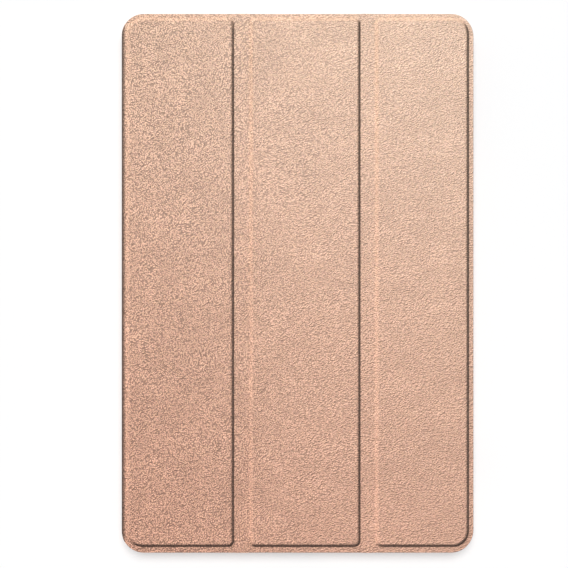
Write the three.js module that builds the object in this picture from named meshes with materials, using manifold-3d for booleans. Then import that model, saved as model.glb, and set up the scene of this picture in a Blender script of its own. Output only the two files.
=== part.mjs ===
// A tablet computer closed inside its tri-fold folio case, lying on its back.
//
// Millimetres. +Z is up, out of the front of the cover. +Y runs to the tablet's top short edge, and +X away
// from the spine. The origin is on the table, under the middle of the case.
//
// The cover is a sandwich: leather outside, three stiff boards, and a microfibre lining against the glass.
// Two soft channels between the boards fold, and so do the spine's two edges. The tablet is held in a thin
// moulded shell that is glued to the back leather.

import * as THREE from "three";
import { mergeVertices } from "three/addons/utils/BufferGeometryUtils.js";
import Module from "manifold-3d";

const wasm = await Module();
wasm.setup();

// ---------------------------------------------------------------- driving dimensions

const CASE_WIDTH = 164.36;
const CASE_LENGTH = 251.6;
const CASE_CORNER = 10.5;

const TABLET_WIDTH = 157.4;
const TABLET_LENGTH = 247.6;
const TABLET_THICKNESS = 7.0;
const TABLET_CORNER = 8.5;

const LEATHER = 0.8;
const LINING = 0.4;
const BOARD = 1.0;
const LAYER_GAP = 0.1; // between two layers that are glued or pressed together

const SHELL_WALL = 1.3;
const SHELL_FLOOR = 1.2;
const SHELL_CLEARANCE = 0.2; // between the shell's wall and the tablet
const COVER_OVERHANG = 0.78; // the cover's free edge past the shell's wall
const SHELL_EDGE_RADIUS = 1.8;

const HOUSING_WALL = 1.5;
const HOUSING_FLOOR = 0.8;
const HOUSING_EDGE_RADIUS = 1.6;
const GLASS = 0.7;

// The raised panels, as x of their left and right edges, from the spine to the free edge.
const RELIEF_1 = [-79.42, -30.04];
const RELIEF_2 = [-21.68, 28.96];
const RELIEF_3 = [36.9, 79.57];
const RELIEF_FOOT = -122.6;
const RELIEF_HEAD = 123.2;
const RELIEF_OUTER_CORNER = 7.2;
const RELIEF_INNER_CORNER = 2.6;
const RELIEF_BEVEL = 0.5;

const SPINE_RADIUS = 1.8; // outside radius of the leather where it turns into the spine
const SPINE_HALF_LENGTH = 116.5;
const SPINE_BOARD = 0.8;

const KEY_TRAVEL_ROOM = 0.5; // between a key's flange and the wall in front of it, for the rocker's far end
const SWITCH_GAP = 0.3;
const KEY_Z = [4.6, 7.0];
const POWER_KEY_Y = [93, 107];
const VOLUME_KEY_Y = [62, 86];
const TRAY_Y = [-93, -77];
const TRAY_Z = [4.9, 6.9];

const CAMERA = [61.5, 106.5];
const CAMERA_OPENING = 9.5; // half the side of the square opening in the case's back

const SPEAKERS_HEAD_X = [-55, 21];
const SPEAKERS_FOOT_X = [-55, 55];
const SPEAKER_SIZE = [26, 11, 3.1];

// ---------------------------------------------------------------- levels and edges that follow

const HALF_WIDTH = CASE_WIDTH / 2;
const HALF_LENGTH = CASE_LENGTH / 2;

const SHELL_Z = LEATHER + LAYER_GAP;
const TABLET_Z = SHELL_Z + SHELL_FLOOR + LAYER_GAP;
const TABLET_TOP = TABLET_Z + TABLET_THICKNESS;
const SHELL_RIM_Z = TABLET_TOP - 0.5;
const LIP_Z = [TABLET_TOP + 0.1, TABLET_TOP + 0.55];
const LINING_Z = [LIP_Z[1] + LAYER_GAP, LIP_Z[1] + LAYER_GAP + LINING];
const FLANGE_Z = [LINING_Z[1] + LAYER_GAP, LINING_Z[1] + LAYER_GAP + LEATHER];
const BOARD_Z = [FLANGE_Z[0], FLANGE_Z[0] + BOARD];
const COVER_TOP = BOARD_Z[1] + LAYER_GAP + LEATHER;

const SHELL_RIGHT = HALF_WIDTH - COVER_OVERHANG;
const TABLET_RIGHT = SHELL_RIGHT - SHELL_WALL - SHELL_CLEARANCE;
const TABLET_LEFT = TABLET_RIGHT - TABLET_WIDTH;
const TABLET_MIDDLE = (TABLET_LEFT + TABLET_RIGHT) / 2;
const TABLET_END = TABLET_LENGTH / 2;
const SHELL_LEFT = TABLET_LEFT - SHELL_CLEARANCE - SHELL_WALL;
const SHELL_END = TABLET_END + SHELL_CLEARANCE + SHELL_WALL;
const SHELL_CORNER = TABLET_CORNER + SHELL_CLEARANCE + SHELL_WALL;

const HOUSING_TOP = TABLET_TOP - GLASS - 0.2;
const GLASS_Z = [TABLET_TOP - GLASS, TABLET_TOP];
const INSIDE_Z = TABLET_Z + HOUSING_FLOOR;
const WALL_INNER = TABLET_RIGHT - HOUSING_WALL;

const FLANGE_STEP = 0.4; // how far the flat leather shows past a panel's relief at a channel
const STRIP_GAP = 0.1;
const FOLD_START = -HALF_WIDTH + 2.3; // where the spine's top fold meets the first panel

const MAIN_BOARD_Z = [4.2, 5.0];
const MAIN_BOARD = { x0: 43, x1: 74.5, y0: -96, y1: 96 };
const BOARD_SCREWS = [[46, -90], [71.5, -50], [46, 54], [71.5, 90]];

const ARC_STEPS = 3; // three.js makes twice as many sides along a quarter turn
const ROUND_STEPS = 20;
const FAR = 400;

// ---------------------------------------------------------------- shapes and solids

// A rectangle with its own radius at each corner, in the order foot-left, foot-right, head-right, head-left.
function outline(x0, x1, y0, y1, radii = 0) {
  const r = Array.isArray(radii) ? radii : [radii, radii, radii, radii];
  const centres = [
    [x0 + r[0], y0 + r[0]],
    [x1 - r[1], y0 + r[1]],
    [x1 - r[2], y1 - r[2]],
    [x0 + r[3], y1 - r[3]],
  ];
  const points = [];
  centres.forEach(([x, y], i) => {
    const steps = cornerSteps(r[i]);
    for (let k = 0; k <= steps; k++) {
      const turn = Math.PI + (i + (steps ? k / steps : 0)) * (Math.PI / 2);
      points.push(new THREE.Vector2(x + r[i] * Math.cos(turn), y + r[i] * Math.sin(turn)));
    }
  });
  return new THREE.Shape(points);
}

function cornerSteps(radius) {
  if (radius === 0) return 0;
  if (radius < 1) return 2;
  return radius < 4 ? 3 : 6;
}

// A slot with nearly half-round ends.
function slot(x0, x1, y0, y1) {
  return outline(x0, x1, y0, y1, 0.48 * Math.min(x1 - x0, y1 - y0));
}

function slab(shape, z0, z1) {
  const made = new THREE.ExtrudeGeometry(shape, {
    depth: z1 - z0,
    bevelEnabled: false,
    curveSegments: ARC_STEPS,
  });
  return made.translate(0, 0, z0);
}

// A slab whose top and bottom edges are rounded inwards from the outline.
function softSlab(shape, z0, z1, radius, height = radius, steps = 3) {
  const made = new THREE.ExtrudeGeometry(shape, {
    depth: z1 - z0 - 2 * height,
    bevelEnabled: true,
    bevelSize: radius,
    bevelOffset: -radius,
    bevelThickness: height,
    bevelSegments: steps,
  });
  return made.translate(0, 0, z0 + height);
}

// A shape drawn in Y and Z, pushed along X from x0 to x1.
function alongX(shape, x0, x1) {
  const turn = new THREE.Matrix4().makeBasis(
    new THREE.Vector3(0, 1, 0), new THREE.Vector3(0, 0, 1), new THREE.Vector3(1, 0, 0));
  return slab(shape, x0, x1).applyMatrix4(turn);
}

// A shape drawn in X and Z, pushed along Y from y0 to y1.
function alongY(shape, y0, y1) {
  const turn = new THREE.Matrix4().makeBasis(
    new THREE.Vector3(1, 0, 0), new THREE.Vector3(0, 0, 1), new THREE.Vector3(0, -1, 0));
  return slab(shape, -y1, -y0).applyMatrix4(turn);
}

function block(x0, x1, y0, y1, z0, z1) {
  return slab(outline(x0, x1, y0, y1), z0, z1);
}

function disc(x, y, radius, z0, z1, steps = ROUND_STEPS) {
  const made = new THREE.CylinderGeometry(radius, radius, z1 - z0, steps);
  return made.rotateX(Math.PI / 2).translate(x, y, (z0 + z1) / 2);
}

// A closed body turned about a vertical line through x, y, from its half profile of [radius, z] points.
function turned(x, y, profile, steps = 12) {
  const made = new THREE.LatheGeometry(profile.map(([r, z]) => new THREE.Vector2(r, z)), steps);
  return made.rotateX(Math.PI / 2).translate(x, y, 0);
}

function solid(geometry) {
  const bare = geometry.clone();
  bare.deleteAttribute("normal");
  bare.deleteAttribute("uv");
  const merged = mergeVertices(bare, 1e-4);
  return new wasm.Manifold(new wasm.Mesh({
    numProp: 3,
    vertProperties: merged.attributes.position.array,
    triVerts: new Uint32Array(merged.index.array),
  }));
}

function geometryOf(made) {
  const mesh = made.getMesh();
  const positions = new Float32Array(mesh.numVert * 3);
  for (let i = 0; i < mesh.numVert; i++) {
    positions.set(mesh.vertProperties.subarray(i * mesh.numProp, i * mesh.numProp + 3), i * 3);
  }
  const geometry = new THREE.BufferGeometry();
  geometry.setAttribute("position", new THREE.BufferAttribute(positions, 3));
  geometry.setIndex(new THREE.BufferAttribute(mesh.triVerts, 1));
  geometry.computeVertexNormals();
  return geometry;
}

function cut(geometry, ...tools) {
  return geometryOf(tools.reduce((body, tool) => body.subtract(solid(tool)), solid(geometry)));
}

function join(geometry, ...others) {
  return geometryOf(others.reduce((body, other) => body.add(solid(other)), solid(geometry)));
}

function common(geometry, other) {
  return geometryOf(solid(geometry).intersect(solid(other)));
}

// ---------------------------------------------------------------- materials

function finish(color, roughness, metalness = 0) {
  return new THREE.MeshStandardMaterial({ color, roughness, metalness });
}

const LEATHER_FINISH = finish(0xd9b29d, 0.42, 0.25);
const LINING_FINISH = finish(0x8d7468, 0.95);
const STIFFENER = finish(0x6f6a64, 0.8);
const SHELL_PLASTIC = finish(0xd2a48c, 0.5);
const ALUMINIUM = finish(0x8c8f93, 0.35, 0.9);
const BLACK_GLASS = finish(0x0b0c0e, 0.06);
const BLACK_PLASTIC = finish(0x1b1c1e, 0.6);
const STEEL = finish(0xb9bbbe, 0.3, 1);
const BOARD_GREEN = finish(0x1f4a33, 0.6);
const POUCH_FOIL = finish(0x3a3d42, 0.4, 0.5);
const FLEX_AMBER = finish(0x9a5f1e, 0.5);

const tablet = new THREE.Group();

function part(name, material, geometry) {
  const mesh = new THREE.Mesh(geometry, material);
  mesh.name = name;
  tablet.add(mesh);
  return mesh;
}

// ---------------------------------------------------------------- the case's back

const caseOutline = outline(-HALF_WIDTH, HALF_WIDTH, -HALF_LENGTH, HALF_LENGTH, CASE_CORNER);

// The keys, the card tray and the plug are reached through notches in the shell's wall, open at the rim.
const NOTCH_FLOOR = TABLET_Z + 1.5;

function wallNotchRight(y0, y1) {
  return alongX(outline(y0, y1, NOTCH_FLOOR, FAR, [1.2, 1.2, 0, 0]), WALL_INNER, SHELL_RIGHT + 1);
}

function speakerSlots(half, z0, z1) {
  const cutters = [];
  for (const x of SPEAKERS_HEAD_X) {
    cutters.push(alongY(slot(x - half, x + half, z0, z1), TABLET_END - HOUSING_WALL - 1, SHELL_END + 1));
  }
  for (const x of SPEAKERS_FOOT_X) {
    cutters.push(alongY(slot(x - half, x + half, z0, z1), -SHELL_END - 1, -TABLET_END + HOUSING_WALL + 1));
  }
  return cutters;
}

function cameraOpening(grow) {
  const half = CAMERA_OPENING + grow;
  return slab(
    outline(CAMERA[0] - half, CAMERA[0] + half, CAMERA[1] - half, CAMERA[1] + half, 4.5 + grow), -1, TABLET_Z);
}

// The moulded shell: a tray, with a lip over the glass at each corner and in the middle of each long wall.
function backShell() {
  const outer = outline(SHELL_LEFT, SHELL_RIGHT, -SHELL_END, SHELL_END, SHELL_CORNER);
  const inner = outline(
    SHELL_LEFT + SHELL_WALL, SHELL_RIGHT - SHELL_WALL, -SHELL_END + SHELL_WALL, SHELL_END - SHELL_WALL,
    SHELL_CORNER - SHELL_WALL);
  const lipEdge = 0.9;
  const lipOpening = outline(
    TABLET_LEFT + lipEdge, TABLET_RIGHT - lipEdge, -TABLET_END + lipEdge, TABLET_END - lipEdge,
    TABLET_CORNER - lipEdge);
  const lipReach = 24;
  const midReach = 14;
  const lowWalls = join(
    block(SHELL_LEFT + lipReach, SHELL_RIGHT - lipReach, -FAR, FAR, SHELL_RIM_Z, FAR),
    block(-FAR, FAR, midReach, SHELL_END - lipReach, SHELL_RIM_Z, FAR),
    block(-FAR, FAR, -SHELL_END + lipReach, -midReach, SHELL_RIM_Z, FAR));
  return cut(
    softSlab(outer, SHELL_Z, LIP_Z[1] + SHELL_EDGE_RADIUS, SHELL_EDGE_RADIUS),
    block(-FAR, FAR, -FAR, FAR, LIP_Z[1], FAR),
    slab(inner, SHELL_Z + SHELL_FLOOR, LIP_Z[0]),
    slab(lipOpening, SHELL_Z + SHELL_FLOOR, FAR),
    lowWalls,
    cameraOpening(0),
    wallNotchRight(VOLUME_KEY_Y[0] - 4, POWER_KEY_Y[1] + 4),
    wallNotchRight(TRAY_Y[0] - 3, TRAY_Y[1] + 3),
    alongY(
      outline(TABLET_MIDDLE - 8, TABLET_MIDDLE + 8, NOTCH_FLOOR, FAR, [1.2, 1.2, 0, 0]),
      -SHELL_END - 1, -TABLET_END + 1),
    ...speakerSlots(10.5, TABLET_Z + 2.0, TABLET_Z + 4.6));
}

part("back_shell", SHELL_PLASTIC, backShell());
part("back_leather", LEATHER_FINISH, cut(
  softSlab(
    outline(FOLD_START, SHELL_RIGHT - 1.9, -SHELL_END + 1.9, SHELL_END - 1.9, [6, 8.1, 8.1, 6]),
    0, LEATHER, 0.25, 0.25, 1),
  cameraOpening(0.5)));

// ---------------------------------------------------------------- the spine and its two folds

// The leather's quarter turn between the flat and the spine, drawn in X and Z. up is 1 at the top, -1 at the foot.
function foldSection(flatZ, up) {
  const centreX = -HALF_WIDTH + SPINE_RADIUS;
  const centreZ = flatZ - up * SPINE_RADIUS;
  const inner = SPINE_RADIUS - LEATHER;
  const end = FOLD_START - STRIP_GAP;
  const shape = new THREE.Shape();
  shape.moveTo(end, flatZ);
  shape.absarc(centreX, centreZ, SPINE_RADIUS, up * Math.PI / 2, up * Math.PI, up < 0);
  shape.absarc(centreX, centreZ, inner, up * Math.PI, up * Math.PI / 2, up > 0);
  shape.lineTo(end, flatZ - up * LEATHER);
  return shape;
}

function trimmedToCase(geometry) {
  return common(geometry, slab(caseOutline, -1, COVER_TOP + 1));
}

const SPINE_Z = [SPINE_RADIUS + STRIP_GAP, FLANGE_Z[1] - SPINE_RADIUS - STRIP_GAP];
const SPINE_LENGTHS = [-SPINE_HALF_LENGTH, SPINE_HALF_LENGTH];

function spineLayer(depth, thickness, inset) {
  const x0 = -HALF_WIDTH + depth;
  return trimmedToCase(
    block(x0, x0 + thickness, SPINE_LENGTHS[0] + inset, SPINE_LENGTHS[1] - inset, SPINE_Z[0], SPINE_Z[1]));
}

part("spine_leather", LEATHER_FINISH, spineLayer(0, LEATHER, 0));
part("spine_board", STIFFENER, spineLayer(LEATHER + LAYER_GAP, SPINE_BOARD, 2));
part("spine_lining", LINING_FINISH, spineLayer(LEATHER + SPINE_BOARD + 2 * LAYER_GAP, LINING, 1));
part("spine_top_fold", LEATHER_FINISH, trimmedToCase(
  alongY(foldSection(FLANGE_Z[1], 1), ...SPINE_LENGTHS.map((y) => y * 1.04))));
part("spine_foot_fold", LEATHER_FINISH, trimmedToCase(alongY(foldSection(0, -1), ...SPINE_LENGTHS)));

// ---------------------------------------------------------------- the three cover panels

const PANELS = [
  { relief: RELIEF_1, flat: [FOLD_START, RELIEF_1[1] + FLANGE_STEP], outer: "left" },
  { relief: RELIEF_2, flat: [RELIEF_2[0] - FLANGE_STEP, RELIEF_2[1] + FLANGE_STEP], outer: "none" },
  { relief: RELIEF_3, flat: [RELIEF_3[0] - FLANGE_STEP, HALF_WIDTH], outer: "right" },
];

function panelCorners(outer, inset) {
  const large = RELIEF_OUTER_CORNER - inset;
  const small = RELIEF_INNER_CORNER - inset;
  const left = outer === "left" ? large : small;
  const right = outer === "right" ? large : small;
  return [left, right, right, left];
}

function panelOutline({ relief, outer }, inset) {
  return outline(
    relief[0] + inset, relief[1] - inset, RELIEF_FOOT + inset, RELIEF_HEAD - inset,
    panelCorners(outer, inset));
}

function stripOfCase([x0, x1], z, inset = 0) {
  const whole = slab(
    outline(
      -HALF_WIDTH + inset, HALF_WIDTH - inset, -HALF_LENGTH + inset, HALF_LENGTH - inset, CASE_CORNER - inset),
    z[0], z[1]);
  return common(whole, block(x0, x1, -FAR, FAR, z[0] - 1, z[1] + 1));
}

// Magnets and the steel plate sit in pockets through their board.
const STAND_PLATE = { board: 0, x0: -77.5, x1: -73.5, y0: -60, y1: 60 };
const CLOSURE_MAGNET = { board: 2, x0: 72.5, x1: 76.5, y0: 30, y1: 90 };
const WAKE_MAGNET = { board: 2, x0: 69.5, x1: 75.5, y0: -63, y1: -53 };
const IN_BOARDS = [STAND_PLATE, CLOSURE_MAGNET, WAKE_MAGNET];

function inBoard({ x0, x1, y0, y1 }, grow, z0, z1) {
  return block(x0 - grow, x1 + grow, y0 - grow, y1 + grow, z0, z1);
}

PANELS.forEach((panel, i) => {
  const relief = softSlab(
    panelOutline(panel, -RELIEF_BEVEL / 2), FLANGE_Z[0] - 1, COVER_TOP, RELIEF_BEVEL, RELIEF_BEVEL, 2);
  const leather = cut(
    join(
      stripOfCase(panel.flat, FLANGE_Z),
      common(relief, block(-FAR, FAR, -FAR, FAR, FLANGE_Z[0], FAR))),
    slab(panelOutline(panel, LEATHER), FLANGE_Z[0] - 1, BOARD_Z[1] + LAYER_GAP));
  part(`panel_${i + 1}_leather`, LEATHER_FINISH, leather);

  const board = slab(panelOutline(panel, LEATHER + LAYER_GAP), BOARD_Z[0], BOARD_Z[1]);
  const pockets = IN_BOARDS.filter((piece) => piece.board === i)
    .map((piece) => inBoard(piece, LAYER_GAP, BOARD_Z[0] - 1, BOARD_Z[1] + 1));
  part(`panel_${i + 1}_board`, STIFFENER, cut(board, ...pockets));

  part(`panel_${i + 1}_lining`, LINING_FINISH, stripOfCase(panel.flat, LINING_Z, 0.4));
});

part("stand_plate", STEEL, inBoard(STAND_PLATE, 0, ...BOARD_Z));
part("closure_magnet", STEEL, inBoard(CLOSURE_MAGNET, 0, ...BOARD_Z));
part("wake_magnet", STEEL, inBoard(WAKE_MAGNET, 0, ...BOARD_Z));

// The soft channels, where leather and lining are pressed together with no board between them.
[0, 1].forEach((i) => {
  const channel = [PANELS[i].flat[1] + STRIP_GAP, PANELS[i + 1].flat[0] - STRIP_GAP];
  part(`fold_${i + 1}_channel`, LEATHER_FINISH, stripOfCase(channel, [LINING_Z[0], FLANGE_Z[1]]));
});

// ---------------------------------------------------------------- the tablet's housing and display

const tabletInset = (inset) => outline(
  TABLET_LEFT + inset, TABLET_RIGHT - inset, -TABLET_END + inset, TABLET_END - inset, TABLET_CORNER - inset);

const USB_Z = [3.55, 6.75];
const USB_HALF = 4.47;

function usbOutline(grow) {
  return slot(TABLET_MIDDLE - USB_HALF - grow, TABLET_MIDDLE + USB_HALF + grow, USB_Z[0] - grow, USB_Z[1] + grow);
}

function keyOutline(y, z, grow) {
  return slot(y[0] - grow, y[1] + grow, z[0] - grow, z[1] + grow);
}

function housing() {
  const keySlots = [[POWER_KEY_Y, KEY_Z], [VOLUME_KEY_Y, KEY_Z], [TRAY_Y, TRAY_Z]].map(
    ([y, z]) => alongX(keyOutline(y, z, 0.15), WALL_INNER - 1, TABLET_RIGHT + 1));
  const tray = cut(
    softSlab(tabletInset(0), TABLET_Z, HOUSING_TOP + HOUSING_EDGE_RADIUS, HOUSING_EDGE_RADIUS),
    block(-FAR, FAR, -FAR, FAR, HOUSING_TOP, FAR),
    slab(tabletInset(HOUSING_WALL), INSIDE_Z, FAR),
    ...keySlots,
    alongY(usbOutline(0.1), -TABLET_END - 1, -TABLET_END + HOUSING_WALL + 1),
    disc(CAMERA[0], CAMERA[1], 3.6, 0, INSIDE_Z + 1),
    ...speakerSlots(8, TABLET_Z + 2.6, TABLET_Z + 3.8));
  const bosses = BOARD_SCREWS.map(([x, y]) => disc(x, y, 1.7, INSIDE_Z - 0.3, MAIN_BOARD_Z[0] - 0.05, 12));
  const bores = BOARD_SCREWS.map(([x, y]) => disc(x, y, 0.85, INSIDE_Z - 0.2, FAR, 12));
  return cut(join(tray, ...bosses), ...bores);
}

part("tablet_housing", ALUMINIUM, housing());
part("cover_glass", BLACK_GLASS, softSlab(tabletInset(0.1), GLASS_Z[0], GLASS_Z[1], 0.25, 0.25, 1));
part("display_adhesive", BLACK_PLASTIC, cut(
  slab(tabletInset(0.3), HOUSING_TOP + 0.02, GLASS_Z[0] - 0.02),
  slab(tabletInset(1.3), 0, FAR)));

const DISPLAY_X = [TABLET_MIDDLE - 69.5, TABLET_MIDDLE + 69.5];
part("lcd_cell", BLACK_GLASS, block(...DISPLAY_X, -115, 115, 7.95, 8.4));
part("backlight_unit", STEEL, block(DISPLAY_X[0] - 1, DISPLAY_X[1] + 1, -116, 116, 7.1, 7.85));

// The mid plate stiffens the tablet over the battery, and is cut away over the charging socket.
part("mid_plate", ALUMINIUM, cut(
  slab(tabletInset(HOUSING_WALL + 1.6), 6.65, 6.95),
  block(TABLET_MIDDLE - 6, TABLET_MIDDLE + 6, -FAR, -114, 0, FAR),
  ...[-52, -22].flatMap((x) => [-56, 0, 56].map((y) => slab(outline(x, x + 22, y - 22, y + 22, 2), 0, FAR)))));

// ---------------------------------------------------------------- the tablet's insides

const CELL_Z = [INSIDE_Z + 0.1, 6.35];
part("battery_cell_left", POUCH_FOIL, softSlab(outline(-74, -18, -84, 84, 2), ...CELL_Z, 0.8, 0.8, 1));
part("battery_cell_right", POUCH_FOIL, softSlab(outline(-16.5, 39.5, -84, 84, 2), ...CELL_Z, 0.8, 0.8, 1));
part("battery_board", BOARD_GREEN, join(
  block(-40, 4, 86, 93, 3.6, 4.4),
  block(-34, -26, 87.5, 91.5, 4.3, 5.4),
  block(-14, -8, 87.5, 91.5, 4.3, 5.0)));

function mainBoard() {
  const { x0, x1, y0, y1 } = MAIN_BOARD;
  const bare = cut(
    slab(outline(x0, x1, y0, y1, 2), ...MAIN_BOARD_Z),
    block(x0 - 1, x0 + 6, 14, 30, 0, FAR),
    block(x1 - 5, x1 + 1, -30, -12, 0, FAR),
    ...BOARD_SCREWS.map(([x, y]) => disc(x, y, 0.95, 0, FAR, 12)));
  const chips = [[49, 57, 62, 70], [61, 69, 74, 84], [50, 60, 84, 90], [48, 56, -62, -52], [60, 67, -70, -62]];
  return join(bare, ...chips.map(
    ([cx0, cx1, cy0, cy1]) => block(cx0, cx1, cy0, cy1, MAIN_BOARD_Z[0] + 0.2, MAIN_BOARD_Z[1] + 0.9)));
}

part("main_board", BOARD_GREEN, mainBoard());
part("cpu_shield", STEEL, softSlab(outline(52, 72, 0, 46, 1), 5.1, 6.45, 0.3, 0.3, 1));
part("radio_shield", STEEL, softSlab(outline(47, 66, -44, -8, 1), 5.1, 6.45, 0.3, 0.3, 1));
part("hall_sensor", BLACK_PLASTIC, block(70.5, 73.5, -60, -56, 5.1, 6.0));

BOARD_SCREWS.forEach(([x, y], i) => {
  const seat = MAIN_BOARD_Z[1] + 0.05;
  part(`board_screw_${i + 1}`, STEEL, turned(x, y, [
    [0, 3.1], [0.7, 3.3], [0.7, seat], [1.5, seat], [1.5, seat + 0.45], [0, seat + 0.6]]));
});

// The charging socket: a flat-sided sleeve with the contact tongue on its back wall.
function usbReceptacle() {
  const mouth = -TABLET_END + 0.05;
  const back = mouth + 7.35;
  const sleeve = cut(
    alongY(usbOutline(0), mouth, back),
    alongY(usbOutline(-0.3), mouth - 1, back - 0.6));
  const tongueZ = (USB_Z[0] + USB_Z[1]) / 2;
  return join(sleeve, alongY(
    outline(TABLET_MIDDLE - 3.35, TABLET_MIDDLE + 3.35, tongueZ - 0.35, tongueZ + 0.35), mouth + 0.9, back - 0.3));
}

part("usb_receptacle", STEEL, usbReceptacle());
part("usb_board", BOARD_GREEN, join(
  slab(outline(-22, 24, -116, -100, 1.5), ...MAIN_BOARD_Z),
  block(-12, -7, -112, -106, 4.4, 5.8),
  block(10, 16, -113, -108, 4.4, 5.6)));
part("microphone", STEEL, block(-19, -15.5, -113, -110, 5.1, 6.1));

// A ribbon between the two boards, clear of the battery.
const ribbon = new THREE.Shape([
  [18, -104], [24, -104], [44.5, -104], [50.5, -104], [50.5, -91.5], [44.5, -91.5], [44.5, -98.5], [18, -98.5],
].filter((_, i) => i !== 1 && i !== 2).map(([x, y]) => new THREE.Vector2(x, y)));
part("board_flex", FLEX_AMBER, slab(ribbon, 5.1, 5.25));

function speaker(x, end) {
  const [w, d, h] = SPEAKER_SIZE;
  const z0 = INSIDE_Z + 0.2;
  const wallY = end * (TABLET_END - HOUSING_WALL - 0.6);
  const y = [wallY, wallY - end * d].sort((a, b) => a - b);
  const mouth = end > 0 ? [y[1] - 2, y[1] + 1] : [y[0] - 1, y[0] + 2];
  return cut(
    softSlab(outline(x - w / 2, x + w / 2, y[0], y[1], 1.5), z0, z0 + h, 0.4, 0.4, 1),
    alongY(slot(x - 8, x + 8, TABLET_Z + 2.5, TABLET_Z + 3.9), ...mouth));
}

SPEAKERS_HEAD_X.forEach((x, i) => part(`speaker_head_${i + 1}`, BLACK_PLASTIC, speaker(x, 1)));
SPEAKERS_FOOT_X.forEach((x, i) => part(`speaker_foot_${i + 1}`, BLACK_PLASTIC, speaker(x, -1)));
part("wifi_antenna", FLEX_AMBER, slab(outline(-38, 4, 112, 121, 1), 3.2, 3.9));

// ---------------------------------------------------------------- cameras

part("front_camera", BLACK_PLASTIC, join(
  block(72.3, 77.7, -2.7, 2.7, 7.1, 8.1),
  disc(75, 0, 1.9, 8.0, 8.4)));
part("rear_camera", BLACK_PLASTIC, join(
  block(CAMERA[0] - 5.5, CAMERA[0] + 5.5, CAMERA[1] - 5.5, CAMERA[1] + 5.5, INSIDE_Z + 0.1, 6.3),
  disc(CAMERA[0], CAMERA[1], 3.2, TABLET_Z + 0.05, INSIDE_Z + 0.2)));
part("camera_ring", ALUMINIUM, cut(
  disc(CAMERA[0], CAMERA[1], 6.5, 1.35, TABLET_Z - 0.05, 28),
  disc(CAMERA[0], CAMERA[1], 4.4, 0, FAR, 28)));
part("camera_lens", BLACK_GLASS, disc(CAMERA[0], CAMERA[1], 4.2, 1.5, TABLET_Z - 0.05, 28));

// ---------------------------------------------------------------- keys, their switches and the card tray

const KEY_FLANGE_X = [WALL_INNER - 0.3 - KEY_TRAVEL_ROOM, WALL_INNER - KEY_TRAVEL_ROOM];
const KEY_FACE_X = TABLET_RIGHT + 0.6;

// A key is a cap through the housing's wall with a flange behind the wall that keeps it in.
function key(y) {
  return join(
    alongX(keyOutline(y, KEY_Z, 0), KEY_FLANGE_X[1] - 0.1, KEY_FACE_X),
    alongX(outline(y[0] - 0.8, y[1] + 0.8, KEY_Z[0] - 0.5, KEY_Z[1] - 0.55), ...KEY_FLANGE_X));
}

part("power_key", ALUMINIUM, key(POWER_KEY_Y));
part("volume_key", ALUMINIUM, key(VOLUME_KEY_Y));

const SWITCH_FACE_X = KEY_FLANGE_X[0] - SWITCH_GAP;
const KEY_FLEX_X = [SWITCH_FACE_X - 0.95, SWITCH_FACE_X - 0.8];
part("key_flex", FLEX_AMBER, block(...KEY_FLEX_X, 58, 112, 4.2, 6.4));

function keySwitch(y) {
  return join(
    block(KEY_FLEX_X[1] + 0.02, SWITCH_FACE_X - 0.3, y - 2, y + 2, 4.3, 6.3),
    alongX(slot(y - 1, y + 1, 4.7, 5.9), SWITCH_FACE_X - 0.4, SWITCH_FACE_X));
}

part("power_switch", STEEL, keySwitch((POWER_KEY_Y[0] + POWER_KEY_Y[1]) / 2));
part("volume_up_switch", STEEL, keySwitch(VOLUME_KEY_Y[1] - 4));
part("volume_down_switch", STEEL, keySwitch(VOLUME_KEY_Y[0] + 4));

const TRAY_PLATE_Z = [5.4, 6.3];
part("card_socket", STEEL, cut(
  block(54, 74, TRAY_Y[0] - 0.6, TRAY_Y[1] + 0.6, 5.1, 6.55),
  block(55, 75, TRAY_Y[0] + 0.6, TRAY_Y[1] - 0.6, 5.25, 6.42)));
part("card_tray", ALUMINIUM, cut(
  join(
    alongX(keyOutline(TRAY_Y, TRAY_Z, 0), WALL_INNER - 0.2, TABLET_RIGHT),
    block(56, WALL_INNER, TRAY_Y[0] + 0.9, TRAY_Y[1] - 0.9, ...TRAY_PLATE_Z)),
  block(59.7, 75.3, TRAY_Y[0] + 2.2, TRAY_Y[1] - 2.2, TRAY_PLATE_Z[0] + 0.25, FAR),
  alongX(slot(TRAY_Y[1] - 2.5, TRAY_Y[1] - 1.5, 5.4, 6.4), WALL_INNER + 0.4, FAR)));
part("memory_card", BLACK_PLASTIC, block(
  60, 75, TRAY_Y[0] + 2.5, TRAY_Y[1] - 2.5, TRAY_PLATE_Z[0] + 0.3, TRAY_PLATE_Z[1]));

export default tablet;
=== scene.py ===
import math

import bmesh
import bpy
from mathutils import Matrix, Vector


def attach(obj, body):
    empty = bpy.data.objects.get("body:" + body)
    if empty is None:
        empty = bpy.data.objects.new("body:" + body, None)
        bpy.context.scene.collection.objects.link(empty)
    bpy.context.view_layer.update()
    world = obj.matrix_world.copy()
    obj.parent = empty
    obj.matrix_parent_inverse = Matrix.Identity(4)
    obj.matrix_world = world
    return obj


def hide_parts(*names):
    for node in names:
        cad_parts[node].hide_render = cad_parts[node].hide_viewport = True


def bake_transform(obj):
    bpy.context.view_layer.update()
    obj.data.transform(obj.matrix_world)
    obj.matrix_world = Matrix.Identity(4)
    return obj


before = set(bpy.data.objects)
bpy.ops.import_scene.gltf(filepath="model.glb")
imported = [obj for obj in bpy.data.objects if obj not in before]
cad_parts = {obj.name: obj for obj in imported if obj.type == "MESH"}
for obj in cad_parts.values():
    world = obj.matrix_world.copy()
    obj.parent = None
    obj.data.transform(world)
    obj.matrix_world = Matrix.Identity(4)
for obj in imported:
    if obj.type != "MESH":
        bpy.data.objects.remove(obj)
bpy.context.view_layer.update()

# Meshes are described in millimetres in the row frame and stored in metres.
MM = 0.001

# ---------------------------------------------------------------- the case's dimensions

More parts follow.
